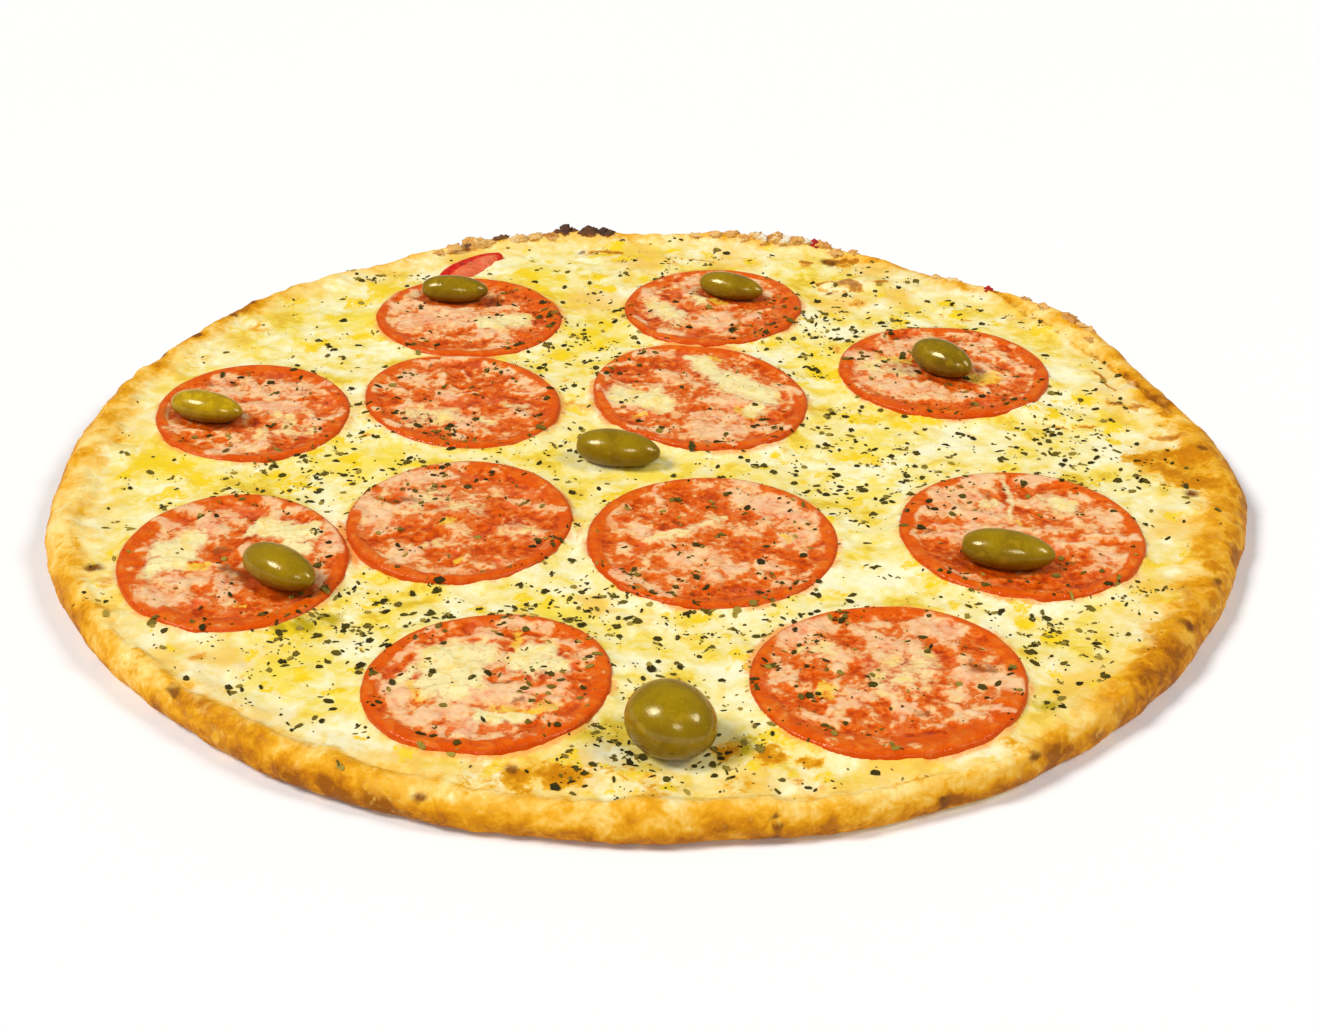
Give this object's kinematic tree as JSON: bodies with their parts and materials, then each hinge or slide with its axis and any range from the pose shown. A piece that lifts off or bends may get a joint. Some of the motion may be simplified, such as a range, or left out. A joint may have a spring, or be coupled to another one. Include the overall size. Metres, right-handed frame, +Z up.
{
  "type": "cheese pizza",
  "caption": "Whole round cheese pizza with a low golden crust, melted cheese with dried oregano, tomato slices and whole green olives.",
  "frame": {"origin": "centre of the bounding box on the flat underside, where the pizza rests", "axes": "+Z up through the thin height of the pizza, from the underside to the toppings; +X to the right and -Y towards the viewer in the picture"},
  "size_m": [0.351, 0.348, 0.0266],
  "materials": {
    "crust": "baked bread crust, golden with browned spots, dry and slightly rough",
    "cheese": "melted cheese, creamy yellow with toasted patches, soft oily sheen",
    "tomato": "baked tomato slice, orange red skin and moist salmon flesh",
    "olive": "whole green olive, smooth and wet"
  },
  "bodies": {
    "root": {"crust": "crust", "cheese": "cheese", "tomato_1": "tomato", "tomato_2": "tomato", "tomato_3": "tomato", "tomato_4": "tomato", "tomato_5": "tomato", "tomato_6": "tomato", "tomato_7": "tomato", "tomato_8": "tomato", "tomato_9": "tomato", "tomato_10": "tomato", "tomato_11": "tomato", "tomato_12": "tomato", "tomato_13": "tomato", "olive_1": "olive", "olive_2": "olive", "olive_3": "olive", "olive_4": "olive", "olive_5": "olive", "olive_6": "olive", "olive_7": "olive", "olive_8": "olive"}
  },
  "joints": []
}
